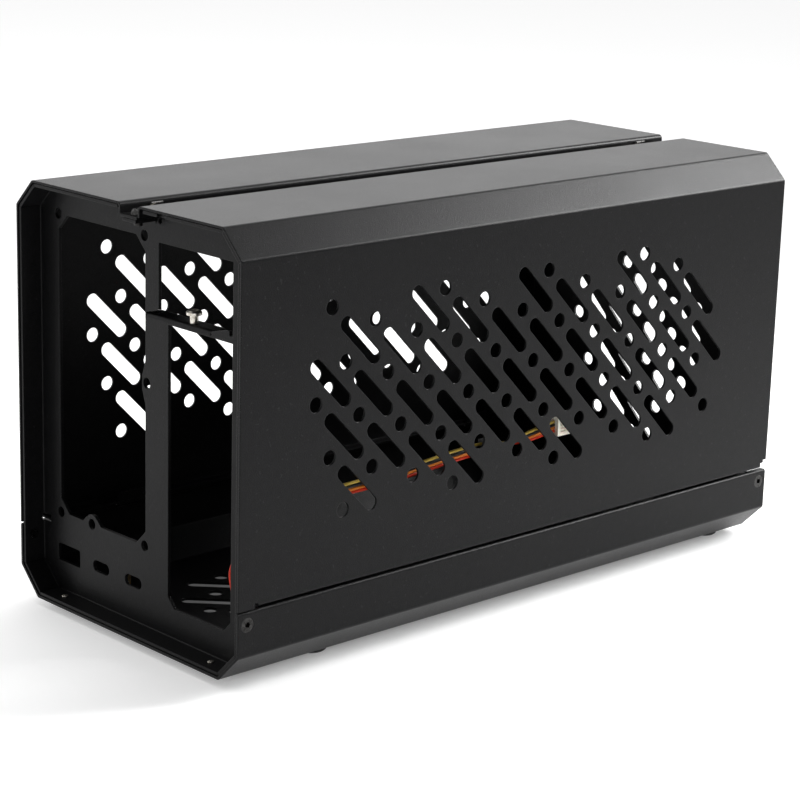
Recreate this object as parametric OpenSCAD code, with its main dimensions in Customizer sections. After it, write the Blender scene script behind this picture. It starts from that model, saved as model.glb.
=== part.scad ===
// External graphics card frame: an eight-sided folded sheet tube that holds a card and its supply.
// Millimetres. X runs along the length with the port end at -X, Y across, Z up from the feet.
// Inside the modules a point is counted from the port end, the near side and the tray's underside.

/* [Case] */
// Length of the tube from end to end
case_l = 281.6; // [250:0.2:340]
// Width over the two side covers
case_w = 129; // [126:0.5:150]
// Height from the tray's underside to the top
case_h = 158; // [156:0.5:180]
// Leg of the slanted edge along the top
top_chamfer = 10; // [8:0.5:12]
// Leg of the slanted edge along the bottom
tray_chamfer = 10.6; // [8:0.2:12]
// Outer radius of every folded edge
bend_r = 1.6; // [1.4:0.1:2.2]
// Outer radius of the hems and rims
hem_bend_r = 1.1; // [1:0.1:1.6]
// Gap between two sheets that lie on each other
fit_gap = 0.15; // [0.1:0.05:0.25]

/* [Side covers] */
// Sheet thickness of the side covers
cover_sheet = 0.8; // [0.8:0.1:1.2]
// Width of the groove between the two covers
groove_w = 10; // [9:0.5:13]
// How far the groove lies towards the near side of the middle
groove_shift = 3.5; // [0:0.5:6]
// Depth of the folded lip on each side of the groove
lip_h = 4; // [3.5:0.1:5]
// Width of the hem folded in along the bottom edge
hem_w = 6; // [5:0.5:7]
// Length of the plain bottom corner before the hem starts
hem_start = 8.8; // [8:0.2:10]
// Depth of the notch in the bottom corner at the front end
corner_notch = 2.6; // [2:0.2:4]
// Height of that notch
cover_notch_h = 3.4; // [2.6:0.2:4]
// Diameter of the round reliefs at the ends of the folds
relief_d = 2.2; // [1.8:0.1:2.6]

/* [Bottom tray] */
// Sheet thickness of the tray
tray_sheet = 1; // [0.8:0.1:1.2]
// Height of the tray's side walls
tray_side_h = 26.9; // [25:0.5:28]
// Open seam between tray and covers
seam_gap = 0.8; // [0.6:0.1:1.2]
// Width of the tray's folded rim
rim_w = 3.6; // [3.4:0.1:4]
// Number of hook tabs on each side
hook_count = 3; // [2:1:4]
// Length of a hook tab
hook_l = 12; // [10:1:16]
// Height of a hook tab above the tray's rim
hook_h = 5; // [4:0.5:7]

/* [Air vents] */
// Distance between two diagonal rows of holes and slots
vent_step = 9.36; // [9:0.05:10]
// Diameter of the round holes and width of the slots
vent_d = 5.5; // [4.5:0.1:6]
// Length of a slot over its round ends
vent_slot_l = 24; // [20:0.5:25]

/* [End panels] */
// Sheet thickness of both end panels
panel_sheet = 1.2; // [1:0.1:1.5]
// How far each end panel is set back from the end of the tube
recess = 9; // [8.5:0.5:12]

/* [Power supply opening] */
// Distance between the supply's screws, up and down
psu_pitch_z = 113; // [113:0.5:114]
// Distance between the supply's screws, across
psu_pitch_y = 51.5; // [51.5:0.5:52]
// Distance of the near column of supply screws from the near side
psu_y = 64.2; // [64:0.1:65]
// Height of the lower row of supply screws
psu_z = 32.6; // [32:0.2:34]
// Diameter of the supply's screw holes
psu_hole_d = 4; // [3.6:0.1:4.2]
// Corner chamfer of the supply opening
psu_chamfer = 5.3; // [5:0.1:6]

/* [Card opening] */
// Distance of both card openings from the near side
card_y = 15.4; // [14.5:0.1:16]
// Width of the lower opening, for two card brackets
card_w = 35.2; // [34:0.2:36]
// Width of the upper opening, for the brackets' tabs
tab_opening_w = 40.6; // [40:0.1:41]
// Height of the lower opening's bottom edge
card_z = 13.4; // [12:0.2:14]
// Height of the shelf's top face
shelf_z = 118.6; // [117:0.2:120]
// Depth of the shelf behind the panel's face
shelf_depth = 6.6; // [6:0.2:8]
// Height of the upper opening above the shelf
tab_opening_h = 25.8; // [24:0.2:27]
// Distance between two card slots
slot_pitch = 20.32; // [20.3:0.01:20.34]

/* [Ports] */
// Width of the rounded port openings
port_w = 9.9; // [9:0.1:11]
// Height of the rounded port openings
port_h = 4.3; // [3.8:0.1:5]
// Width of the square port opening
square_port_w = 13.7; // [13:0.1:15]
// Height of the square port opening
square_port_h = 6.7; // [6:0.1:7.5]
// Height of the middle of all the ports
port_z = 17.2; // [16.5:0.1:18]

/* [Screws] */
// Thread diameter of the case screws
screw_d = 3; // [2.5:0.5:3]
// Head diameter of the countersunk case screws
csk_head_d = 5.2; // [5:0.1:5.6]
// Head diameter of the raised screws
pan_head_d = 5.6; // [5:0.1:6]
// Distance of the case screws from the end of the tube
screw_x = 4; // [3.8:0.1:4.6]
// Height of the side screws
side_screw_z = 22.2; // [20:0.2:23]
// Distance of the floor rivets from the sides
floor_rivet_y = 21; // [18:0.5:24]
// Shank diameter of the floor rivets
rivet_d = 1.6; // [1.4:0.1:2]
// Height that the card screw stands above the shelf
card_screw_rise = 2.9; // [1:0.1:4]

/* [Top rail] */
// Sheet thickness of the rail under the groove
rail_sheet = 1; // [0.8:0.1:1.2]
// Width of the rail
rail_w = 13.6; // [12:0.2:14]
// Depth of the rail's folded sides
rail_side_h = 7; // [5:0.5:10]
// Distance of each spring clip from the end of the tube
clip_x = 15; // [14.5:0.5:30]
// Length of a spring clip
clip_l = 5; // [4:0.5:7]
// Sheet thickness of a spring clip
clip_sheet = 0.5; // [0.4:0.1:0.7]

/* [Feet] */
// Diameter of the rubber feet
foot_d = 12; // [10:0.5:14]
// Height of the rubber feet
foot_h = 3; // [2.6:0.1:5]
// Distance of the feet from the sides
foot_y = 20; // [18:0.5:24]
// Distance of the rear feet from the port end
rear_foot_x = 50; // [40:1:60]
// Distance of the front feet from the front end
front_foot_x = 14; // [13.5:0.5:20]

/* [Board standoffs] */
// Height of the standoffs for the dock board
standoff_h = 5; // [4:0.5:8]
// Width across the flats of a standoff
standoff_af = 5; // [4.5:0.5:5.5]
// Distance of the standoffs from the sides
standoff_y = 24; // [23:0.5:26]
// Distance of the first pair of standoffs from the port end
standoff_x = 30; // [27:1:36]
// Distance between the two pairs of standoffs
standoff_pitch = 80; // [70:1:90]

/* [Internal lead] */
// Diameter of one wire of the lead
wire_d = 1.15; // [1:0.05:1.5]
// Distance between two wires that lie side by side
wire_pitch = 1.2; // [1.2:0.1:1.6]
// Length of the plugs on the lead
plug_l = 8; // [7:0.5:10]

/* [Hidden] */

// Cuts run past the faces that they open by this much
past = 1;
$fn = 40;
bend_steps = 4;

groove_y = case_w / 2 - groove_shift;
near_top_w = groove_y - groove_w / 2;
far_top_w = case_w - groove_y - groove_w / 2;
cover_z = tray_side_h + seam_gap;
plain_corner_z = tray_side_h + seam_gap / 2;
panel_inset = max(cover_sheet, tray_sheet) + fit_gap;
flange_front = 0.4;
vent_reach = (vent_slot_l - vent_d) / 2 / sqrt(2) + vent_d / 2;
rail_z = case_h - lip_h - fit_gap;
tab_z = rail_z - rail_sheet - fit_gap;
tab_low = groove_y - 3.2;
tab_high = groove_y + 4.2;
tab_slit = 0.4;
mitre_seam = 0.16;
hem_slit_low = tray_side_h;
hem_slit_high = cover_z + cover_sheet + fit_gap * 6;
hem_slit_depth = hem_w + cover_sheet;
hook_y = rim_w + fit_gap;
socket_af = 2;
wire_y = cover_sheet + 2.2;
lead_clip_l = 4;
lead_clip_wall = 0.7;

black = "#2f3032";
steel = "#b9b6ad";

// Direction of a step, and the direction to its right
function unit(v) = v / norm(v);
function to_right(v) = [v[1], -v[0]];

// Points of one folded corner at b, on the line itself (side 0) or on the sheet's other face (side 1)
function fold(a, b, c, t, r, side) =
  let (
    u = unit(b - a),
    w = unit(c - b),
    right_turn = u[0] * w[1] - u[1] * w[0] < 0,
    turn = acos(u * w),
    line_r = right_turn ? r : r - t,
    face_r = right_turn ? r - t : r,
    hub = b - u * line_r * tan(turn / 2) + to_right(u) * (right_turn ? line_r : -line_r),
    out = right_turn ? -to_right(u) : to_right(u),
    start = atan2(out[1], out[0]),
    sweep = right_turn ? -turn : turn,
    arc_r = side == 0 ? line_r : face_r
  )
  [for (i = [0:bend_steps]) hub + arc_r * [cos(start + sweep * i / bend_steps), sin(start + sweep * i / bend_steps)]];

// Outer radius of fold i: one number for all the folds, or a list with one for each
function radius_at(r, i) = is_list(r) ? r[i - 1] : r;

function reversed(list) = [for (i = [len(list) - 1:-1:0]) list[i]];

// Cross-section of a folded sheet: its outer face follows the points, its thickness lies to their right
function folded(p, t, r) =
  let (
    m = len(p) - 1,
    first = to_right(unit(p[1] - p[0])) * t,
    last = to_right(unit(p[m] - p[m - 1])) * t,
    outer = [for (i = [1:1:m - 1]) each fold(p[i - 1], p[i], p[i + 1], t, radius_at(r, i), 0)],
    inner = [for (i = [1:1:m - 1]) each fold(p[i - 1], p[i], p[i + 1], t, radius_at(r, i), 1)]
  )
  concat([p[0]], outer, [p[m], p[m] + last], reversed(inner), [p[0] + first]);

// Eight-sided outline of the tube, set in by i, counted from the floor's near end round to the near wall
function octagon(i) =
  let (
    shrink = i * (2 - sqrt(2)),
    b = tray_chamfer - shrink,
    t = top_chamfer - shrink,
    y1 = case_w - i,
    z1 = case_h - i
  )
  [[i + b, i], [y1 - b, i], [y1, i + b], [y1, z1 - t], [y1 - t, z1], [i + t, z1], [i, z1 - t], [i, i + b]];

// Places of the vents: a checkerboard turned by 45 degrees, round holes on its even squares and slots on
// the odd ones, kept where a whole vent fits between the limits. Each entry is across, up, is it a slot.
function vents(first, low, high, row_limit) =
  [for (i = [-20:20]) for (k = [-20:20])
    let (
      u = 2 * vent_step * i,
      v = vent_step * k,
      x = first[0] + (u + v) / sqrt(2),
      z = first[1] + (v - u) / sqrt(2),
      slot = (i + k) % 2 != 0,
      reach = slot ? vent_reach : vent_d / 2
    )
    if (x - reach >= low[0] && x <= high[0] && z - reach >= low[1] && z + reach <= high[1] && k <= row_limit)
    [x, z, slot]];

// Moves the case so that its middle is over the origin and its feet stand at height 0
module placed() {
  translate([-case_l / 2, -case_w / 2, foot_h]) children();
}

// Mirrors what is drawn at the near side to the far side
module far_side() {
  translate([0, case_w, 0]) mirror([0, 1, 0]) children();
}

// Mirrors what is drawn at the port end to the front end
module front_end() {
  translate([case_l, 0, 0]) mirror([1, 0, 0]) children();
}

module both_ends() {
  children();
  front_end() children();
}

module both_sides() {
  children();
  far_side() children();
}

// Extrudes a section drawn across and up along the case from x0 over a length
module along_case(x0, length) {
  translate([x0, 0, 0]) rotate([90, 0, 90]) linear_extrude(length) children();
}

// Extrudes a section drawn along the case and up across it from y0 over a length
module across_case(y0, length) {
  translate([0, y0 + length, 0]) rotate([90, 0, 0]) linear_extrude(length) children();
}

// Flat shape with all the vents of one face
module vent_field(places) {
  for (p = places) translate([p[0], p[1]]) {
    if (p[2]) rotate(-45) {
      square([vent_slot_l - vent_d, vent_d], center = true);
      for (s = [-1, 1]) translate([s * (vent_slot_l - vent_d) / 2, 0]) circle(d = vent_d);
    }
    else circle(d = vent_d);
  }
}

// Countersunk screw along +Z with its flat head face at 0, grown by a gap where it is used as a cut
module csk_screw(length, grow = 0) {
  cone_h = (csk_head_d - screw_d) / 2;
  translate([0, 0, -grow]) cylinder(h = grow + 0.15, d = csk_head_d + 2 * grow);
  translate([0, 0, 0.15]) cylinder(h = cone_h, d1 = csk_head_d + 2 * grow, d2 = screw_d + 2 * grow);
  cylinder(h = length + grow, d = screw_d + 2 * grow);
}

module csk_screw_solid(length) {
  difference() {
    csk_screw(length);
    translate([0, 0, -past]) cylinder(h = past + 1, d = socket_af / cos(30), $fn = 6);
  }
}

// Raised-head screw that points down from its seat at 0
module pan_screw(length, head_h) {
  difference() {
    union() {
      cylinder(h = head_h * 0.6, d = pan_head_d);
      translate([0, 0, head_h * 0.6]) cylinder(h = head_h * 0.4, d1 = pan_head_d, d2 = pan_head_d * 0.72);
      translate([0, 0, -length]) cylinder(h = length + 0.1, d = screw_d);
    }
    for (a = [0, 90]) rotate(a)
      translate([-pan_head_d * 0.3, -0.4, head_h * 0.45]) cube([pan_head_d * 0.6, 0.8, head_h]);
  }
}

// Places of the case screws in the side walls and in the floor
module at_side_screws() {
  both_sides() both_ends() translate([screw_x, 0, side_screw_z]) rotate([-90, 0, 0]) children();
}

module at_floor_rivets() {
  both_sides() both_ends() translate([screw_x + 1, floor_rivet_y, 0]) children();
}

module at_feet() {
  for (x = [rear_foot_x, case_l - front_foot_x]) for (y = [foot_y, case_w - foot_y]) translate([x, y, 0]) children();
}

module at_standoffs() {
  for (x = [standoff_x, standoff_x + standoff_pitch]) for (y = [standoff_y, case_w - standoff_y])
    translate([x, y, tray_sheet]) children();
}

// Middle of hook number i along the case
function hook_x(i) = case_l * (i + 0.5) / hook_count;

// Bottom tray: a folded trough with slanted edges, rims, hook tabs and floor vents
module bottom_tray() {
  clear_end = recess + panel_sheet + 1;
  far = case_w;
  color(black) placed() difference() {
    union() {
      difference() {
        along_case(0, case_l) polygon(folded([
          [far - rim_w, tray_side_h], [far, tray_side_h], [far, tray_chamfer], [far - tray_chamfer, 0],
          [tray_chamfer, 0], [0, tray_chamfer], [0, tray_side_h], [rim_w, tray_side_h]], tray_sheet,
          [hem_bend_r, bend_r, bend_r, bend_r, bend_r, hem_bend_r]));
        both_ends() translate([-past, tray_sheet, tray_side_h - hem_bend_r])
          cube([clear_end + past, case_w - 2 * tray_sheet, hem_bend_r + past]);
      }
      both_sides() for (i = [0:hook_count - 1]) along_case(hook_x(i) - hook_l / 2, hook_l)
        polygon(folded([[bend_r, tray_side_h], [hook_y + tray_sheet, tray_side_h],
          [hook_y + tray_sheet, tray_side_h + hook_h]], tray_sheet, bend_r));
    }
    at_side_screws() csk_screw(4, 0.05);
    at_floor_rivets() translate([0, 0, -past]) cylinder(h = tray_sheet + 2 * past, d = rivet_d + 0.06);
    at_feet() translate([0, 0, -past]) cylinder(h = tray_sheet + 2 * past, d = screw_d + 0.4);
    at_standoffs() translate([0, 0, -tray_sheet - past]) cylinder(h = tray_sheet + 2 * past, d = screw_d);
    translate([0, 0, -past]) linear_extrude(tray_sheet + 2 * past) vent_field(vents(
      [40.1, 65.5], [31.5, 30], [248, case_w - 30], 20));
  }
}

// One side cover: a perforated wall, the slanted edge, half of the top and the lip beside the groove
module side_cover(top_w) {
  difference() {
    union() {
      difference() {
        along_case(0, case_l) polygon(folded([
          [0, plain_corner_z], [0, case_h - top_chamfer], [top_chamfer, case_h], [top_w, case_h],
          [top_w, case_h - lip_h]], cover_sheet, bend_r));
        translate([hem_start, -past, plain_corner_z - past])
          cube([case_l, cover_sheet + 2 * past, past + 2 * bend_r]);
      }
      along_case(hem_start, case_l - hem_start - corner_notch) polygon(folded([
        [hem_w, cover_z], [0, cover_z], [0, cover_z + 3 * bend_r]], cover_sheet, hem_bend_r));
    }
    translate([hem_start - relief_d / 2, -past, plain_corner_z + 0.9]) rotate([-90, 0, 0])
      cylinder(h = cover_sheet + 2 * past, d = relief_d);
    translate([hem_start - relief_d / 2 - 0.4, -past, plain_corner_z - past])
      cube([relief_d / 2 + 0.4, cover_sheet + 2 * past, past + 0.9]);
    translate([case_l - corner_notch, -past, cover_z + cover_notch_h - 0.8]) rotate([-90, 0, 0])
      linear_extrude(hem_w + 2 * past) {
        circle(r = 0.8);
        translate([-0.8, 0]) square([corner_notch + past + 0.8, cover_notch_h + past]);
        translate([0, -0.8]) square([corner_notch + past, 2]);
      }
    for (i = [0:hook_count - 1])
      translate([hook_x(i) - hook_l / 2 - 0.5, hook_y - 0.3, cover_z - past])
        cube([hook_l + 1, tray_sheet + 0.6, cover_sheet + 2 * past]);
    translate([0, cover_sheet + past, 0]) rotate([90, 0, 0]) linear_extrude(cover_sheet + 2 * past)
      vent_field(vents([39.6, 127.7], [28.6, 51.6], [242, 131], 13));
  }
}

module near_cover() {
  color(black) placed() side_cover(near_top_w);
}

module far_cover() {
  color(black) placed() far_side() side_cover(far_top_w);
}

// One flange folded out from an end panel, on its own straight line of a given length
module outward_flange(length) {
  across_case(0, length) polygon(folded([
    [recess + panel_sheet, bend_r + 0.8], [recess + panel_sheet, 0], [flange_front, 0]], panel_sheet, bend_r));
}

// Flange on the octagon's edge number i, kept to the stretch from s to e along that edge. Its ends are
// mitred, with a fine seam where it meets the flanges on either side.
module edge_flange(i, s, e) {
  a = octagon(panel_inset)[i];
  b = octagon(panel_inset)[(i + 1) % 8];
  beyond = octagon(panel_inset - 1);
  within = octagon(panel_inset + bend_r + panel_sheet);
  seam = mitre_seam / 2 * unit(b - a);
  turn = atan2(b[1] - a[1], b[0] - a[0]);
  intersection() {
    translate([0, a[0], a[1]]) rotate([turn, 0, 0]) translate([0, s, 0]) outward_flange(e - s);
    along_case(-past, recess + panel_sheet + 2 * past)
      polygon([beyond[i] + seam, beyond[(i + 1) % 8] - seam, within[(i + 1) % 8] - seam, within[i] + seam]);
  }
}

// End panel without its openings: an eight-sided plate with flanges folded towards the outside, a notch
// at the top where the groove passes and a tab there that carries the rail. From slit_from inwards, slits
// let the covers' hems through.
module panel_blank(slit_from) {
  o = octagon(panel_inset);
  plate = octagon(panel_inset + bend_r + 0.1);
  notch_low = groove_y - groove_w / 2 - 1.5;
  notch_high = groove_y + groove_w / 2 + 2;
  flange_gap_low = notch_low - 0.8;
  flange_gap_high = notch_high;
  difference() {
    union() {
      along_case(recess, panel_sheet) polygon(plate);
      for (i = [0, 1, 2, 3, 5, 6, 7]) edge_flange(i, -1, norm(o[(i + 1) % 8] - o[i]) + 1);
      edge_flange(4, -1, o[4][0] - flange_gap_high);
      edge_flange(4, o[4][0] - flange_gap_low, o[4][0] - o[5][0] + 1);
    }
    translate([-past, notch_low, tab_z]) cube([recess + panel_sheet + 2 * past, notch_high - notch_low, case_h]);
    for (y = [notch_low + 0.8, notch_high - 0.8]) translate([-past, y, tab_z - 0.7]) rotate([0, 90, 0])
      cylinder(h = recess + panel_sheet + 2 * past, d = relief_d - 0.2);
    translate([recess - past, tab_low - tab_slit, tab_z - bend_r - 0.3])
      cube([panel_sheet + 2 * past, tab_high - tab_low + 2 * tab_slit, case_h]);
    both_sides() translate([slit_from, -past, hem_slit_low])
      cube([recess + panel_sheet - slit_from + past, hem_slit_depth + past, hem_slit_high - hem_slit_low]);
    at_side_screws() csk_screw(4, 0.02);
    at_floor_rivets() translate([0, 0, -past]) cylinder(h = 6, d = rivet_d + 0.06);
  }
  difference() {
    translate([0, tab_low, tab_z]) mirror([0, 0, 1]) outward_flange(tab_high - tab_low);
    translate([screw_x, groove_y, tab_z - panel_sheet - past]) cylinder(h = panel_sheet + 2 * past, d = screw_d + 0.04);
  }
}

// Outline of the power supply opening, with slanted corners and two screw lugs that stand into it
module supply_opening() {
  low_y = psu_y - 0.5;
  high_y = psu_y + psu_pitch_y - 0.2;
  low_z = psu_z + 0.2;
  high_z = psu_z + psu_pitch_z - 0.3;
  c = psu_chamfer;
  lug_y = psu_y + psu_pitch_y - 19.5;
  lug_z = psu_z + psu_pitch_z - 52.6;
  difference() {
    polygon([[low_y + c, low_z], [high_y - c, low_z], [high_y, low_z + c], [high_y, high_z - c],
      [high_y - c, high_z], [low_y + c, high_z], [low_y, high_z - c], [low_y, low_z + c]]);
    translate([lug_y, psu_z]) circle(d = 7.6);
    translate([lug_y, low_z]) polygon([[-5.6, 0], [-3.2, 2.2], [3.2, 2.2], [5.6, 0]]);
    translate([low_y, lug_z]) polygon([[-past, -8], [0, -8], [1.9, -2.6], [1.9, 2.6], [0, 8], [-past, 8]]);
  }
  for (y = [psu_y, psu_y + psu_pitch_y]) for (z = [psu_z, psu_z + psu_pitch_z])
    translate([y, z]) circle(d = psu_hole_d);
  translate([lug_y, psu_z]) circle(d = psu_hole_d);
  translate([psu_y - 1.3, lug_z]) circle(d = psu_hole_d);
}

// Both card openings: the lower one for the brackets and the upper one above the shelf for their tabs
module card_openings() {
  c = 3.8;
  right = card_y + card_w;
  tab_right = card_y + tab_opening_w;
  band = 2.2;
  polygon([[card_y + c, card_z], [right - c, card_z], [right, card_z + c], [right, shelf_z - band],
    [card_y, shelf_z - band], [card_y, card_z + c]]);
  polygon([[card_y, shelf_z + 0.3], [card_y + 1.8, shelf_z + 0.3], [card_y + 1.8, shelf_z + 1.8],
    [card_y + 3, shelf_z + 1.8], [shelf_low - 0.6, shelf_z], [shelf_low - 0.6, shelf_z - bend_r],
    [shelf_high + 0.3, shelf_z - bend_r], [shelf_high + 0.3, shelf_z],
    [tab_right, shelf_z + 2.1], [tab_right, shelf_z + tab_opening_h], [card_y, shelf_z + tab_opening_h]]);
}

shelf_low = card_y + 12;
shelf_high = psu_y - 0.9;
card_screw_y = card_y + 24.8;

// Port openings in the bottom strip of the rear panel
module port_openings() {
  for (y = [psu_y + 6.9, psu_y + 26.4]) translate([y, port_z]) {
    square([port_w - port_h, port_h], center = true);
    for (s = [-1, 1]) translate([s * (port_w - port_h) / 2, 0]) circle(d = port_h);
  }
  translate([psu_y + 46.5, port_z - 0.3]) {
    square([square_port_w - 1.6, square_port_h], center = true);
    square([square_port_w, square_port_h - 1.6], center = true);
    for (sy = [-1, 1]) for (sz = [-1, 1])
      translate([sy * (square_port_w / 2 - 0.8), sz * (square_port_h / 2 - 0.8)]) circle(d = 1.6);
  }
}

// Rear panel: the power supply opening, the card openings with their shelf, and the ports
module rear_panel() {
  color(black) placed() {
    difference() {
      panel_blank(hem_start - 0.5);
      translate([-past, card_y + 26, case_h - panel_inset - bend_r]) cube([past + 1.6, 4.4, bend_r + past]);
      along_case(recess - past, panel_sheet + 2 * past) supply_opening();
      along_case(recess - past, panel_sheet + 2 * past) card_openings();
      along_case(recess - past, panel_sheet + 2 * past) port_openings();
    }
    difference() {
      across_case(shelf_low, shelf_high - shelf_low) polygon(folded([
        [recess, shelf_z - 2.1], [recess, shelf_z], [recess + shelf_depth, shelf_z]], panel_sheet, bend_r));
      for (y = [card_screw_y, card_screw_y + slot_pitch])
        translate([recess + shelf_depth / 2 - 0.2, y, shelf_z - panel_sheet - past])
          cylinder(h = panel_sheet + 2 * past, d = screw_d + 0.04);
    }
  }
}

// Front panel: the same folded plate with a field of vents
module front_panel() {
  low = 26.9;
  color(black) placed() front_end() difference() {
    panel_blank(-past);
    translate([0, case_w, 0]) mirror([0, 1, 0]) along_case(recess - past, panel_sheet + 2 * past)
      vent_field(vents([29.7, 77.1], [low, 28], [case_w - low - vent_d / 2, 130], 20));
  }
}

// Top rail: a channel with its crown under the groove, narrowed to its crown past the end panels
module top_rail() {
  inner_x = recess + panel_sheet + 0.4;
  low = groove_y - rail_w / 2;
  high = groove_y + rail_w / 2;
  color(black) placed() difference() {
    along_case(flange_front, case_l - 2 * flange_front) polygon(folded([
      [low, rail_z - rail_side_h], [low, rail_z], [high, rail_z], [high, rail_z - rail_side_h]],
      rail_sheet, bend_r));
    both_ends() translate([-past, low - past, rail_z - rail_side_h - past])
      cube([inner_x + past, rail_w + 2 * past, rail_side_h + past - rail_sheet]);
    both_ends() translate([-past, low - past, rail_z - rail_sheet - past])
      cube([inner_x + past, past + tab_low - low - 0.6, rail_sheet + 2 * past]);
    both_ends() translate([-past, high - bend_r, rail_z - rail_sheet - past])
      cube([inner_x + past, bend_r + past, rail_sheet + 2 * past]);
    both_ends() translate([screw_x, groove_y, rail_z - rail_sheet - past])
      cylinder(h = rail_sheet + 2 * past, d = screw_d + 0.4);
    both_ends() translate([clip_x, groove_y, rail_z - rail_sheet - past])
      cylinder(h = rail_sheet + 2 * past, d = 2.04);
  }
}

// Spring clip in the groove: a folded strip whose arms press the two lips apart
module seam_clip() {
  half = groove_w / 2 - fit_gap;
  low = rail_z + 0.05;
  high = case_h - 1;
  difference() {
    along_case(clip_x - clip_l / 2, clip_l) polygon(folded([
      [groove_y + half - 1.4, high - 0.4], [groove_y + half, high], [groove_y + half, low],
      [groove_y - half, low], [groove_y - half, high], [groove_y - half + 1.4, high - 0.4]],
      clip_sheet, 0.7));
    translate([clip_x, groove_y, low - past]) cylinder(h = clip_sheet + 2 * past, d = 2.04);
  }
}

module rear_seam_clip() {
  color(steel) placed() seam_clip();
}

module front_seam_clip() {
  color(steel) placed() front_end() seam_clip();
}

// Rivets that hold the spring clips on the rail
module clip_rivets() {
  color(steel) placed() both_ends() translate([clip_x, groove_y, rail_z]) {
    translate([0, 0, -rail_sheet - 0.7]) cylinder(h = rail_sheet + clip_sheet + 0.9, d = 2);
    translate([0, 0, clip_sheet + 0.1]) cylinder(h = 0.8, d1 = 3.6, d2 = 2.4);
    translate([0, 0, -rail_sheet - 0.7]) cylinder(h = 0.6, d = 3);
  }
}

// Screws that hold the rail on the tabs of the end panels
module rail_screws() {
  color(steel) placed() both_ends() translate([screw_x, groove_y, rail_z + 0.05])
    pan_screw(rail_sheet + panel_sheet + 1.6, 1.9);
}

module side_screws() {
  color(steel) placed() at_side_screws() csk_screw_solid(3.6);
}

// Small rivets that hold the end panels on the tray's floor, flush below and domed above
module floor_rivets() {
  top = panel_inset + panel_sheet;
  color(steel) placed() at_floor_rivets() {
    cylinder(h = top + 0.3, d = rivet_d);
    translate([0, 0, top + 0.02]) rotate_extrude()
      polygon([[0, 0], [rivet_d * 0.75, 0], [rivet_d * 0.7, 0.3], [rivet_d * 0.35, 0.5], [0, 0.55]]);
  }
}

// Card screw, left standing a few turns out of the shelf
module card_screw() {
  color(steel) placed() translate([recess + shelf_depth / 2 - 0.2, card_screw_y, shelf_z + card_screw_rise])
    pan_screw(card_screw_rise + panel_sheet + 1, 1.6);
}

// Rubber foot: a turned pad with a sunk seat for its screw
module foot() {
  translate([0, 0, -foot_h]) rotate_extrude() polygon([
    [screw_d / 2 + 0.1, 1.3], [pan_head_d / 2 + 0.4, 1.3], [pan_head_d / 2 + 0.4, 0], [foot_d / 2 - 0.9, 0],
    [foot_d / 2 - 0.3, 0.5], [foot_d / 2, foot_h - 0.1], [screw_d / 2 + 0.1, foot_h - 0.1]]);
}

module rear_near_foot() {
  color("#1d1d1e") placed() translate([rear_foot_x, foot_y, 0]) foot();
}

module rear_far_foot() {
  color("#1d1d1e") placed() translate([rear_foot_x, case_w - foot_y, 0]) foot();
}

module front_near_foot() {
  color("#1d1d1e") placed() translate([case_l - front_foot_x, foot_y, 0]) foot();
}

module front_far_foot() {
  color("#1d1d1e") placed() translate([case_l - front_foot_x, case_w - foot_y, 0]) foot();
}

// Screws up through the feet and the nuts that hold them inside
module foot_screws() {
  color(steel) placed() at_feet() translate([0, 0, 1.25 - foot_h]) mirror([0, 0, 1])
    pan_screw(foot_h - 1.25 + tray_sheet + 3, 1);
}

module foot_nuts() {
  color(steel) placed() at_feet() translate([0, 0, tray_sheet + 0.05]) difference() {
    cylinder(h = 2.4, d = 5.5 / cos(30), $fn = 6);
    translate([0, 0, -past]) cylinder(h = 2.4 + 2 * past, d = screw_d + 0.04);
  }
}

// Threaded hexagonal standoffs for the dock board
module board_standoffs() {
  color("#c9a95a") placed() at_standoffs() difference() {
    translate([0, 0, 0.05]) cylinder(h = standoff_h, d = standoff_af / cos(30), $fn = 6);
    translate([0, 0, -past]) cylinder(h = standoff_h + 2 * past, d = screw_d - 0.5);
  }
}

// Route of the lead's middle, from the plug behind the rear panel up to the wall and along it
lead_route = [[38, 13, 4.4], [31, 13, 4.6], [24.5, 13.5, 7], [19, 15, 13], [15, 17, 21], [12.8, 18, 29],
  [12.6, 17.4, 36.5], [15.5, 13, 45], [22, 8, 52.5], [32, 4.8, 57.8], [43, wire_y + 0.4, 60.2],
  [54, wire_y, 61], [70, wire_y, 61.5], [84, wire_y, 62.2], [98, wire_y, 63.2], [112, wire_y, 64],
  [124, wire_y, 63.9], [138, wire_y, 64.1], [155, wire_y, 66]];
wire_sides = 8;

// Direction of the route at point i, and the direction across it in which the wires are stacked
function route_step(i) = unit(lead_route[min(i + 1, len(lead_route) - 1)] - lead_route[max(i - 1, 0)]);
function route_across(i) = unit(cross(route_step(i), [0, 1, 0]));

// A wire swept along the route: a ring of points round each point of the route, moved across by a shift
module wire(shift) {
  rings = len(lead_route);
  points = [for (i = [0:rings - 1])
    let (across = route_across(i), side = cross(across, route_step(i)))
    for (j = [0:wire_sides - 1])
      let (a = 360 * j / wire_sides)
      lead_route[i] + across * shift + (across * cos(a) + side * sin(a)) * wire_d / 2];
  faces = concat(
    [[for (j = [0:wire_sides - 1]) j]],
    [for (i = [0:rings - 2]) for (j = [0:wire_sides - 1])
      [i * wire_sides + j, (i + 1) * wire_sides + j, (i + 1) * wire_sides + (j + 1) % wire_sides,
        i * wire_sides + (j + 1) % wire_sides]],
    [[for (j = [wire_sides - 1:-1:0]) (rings - 1) * wire_sides + j]]);
  placed() polyhedron(points, faces, convexity = 10);
}

module yellow_wire() {
  color("#c4a93c") wire(1.5 * wire_pitch);
}

module black_wire() {
  color("#1a1a1a") wire(0.5 * wire_pitch);
}

module orange_wire() {
  color("#c87a3c") wire(-0.5 * wire_pitch);
}

module red_wire() {
  color("#c23b1c") wire(-1.5 * wire_pitch);
}

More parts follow.
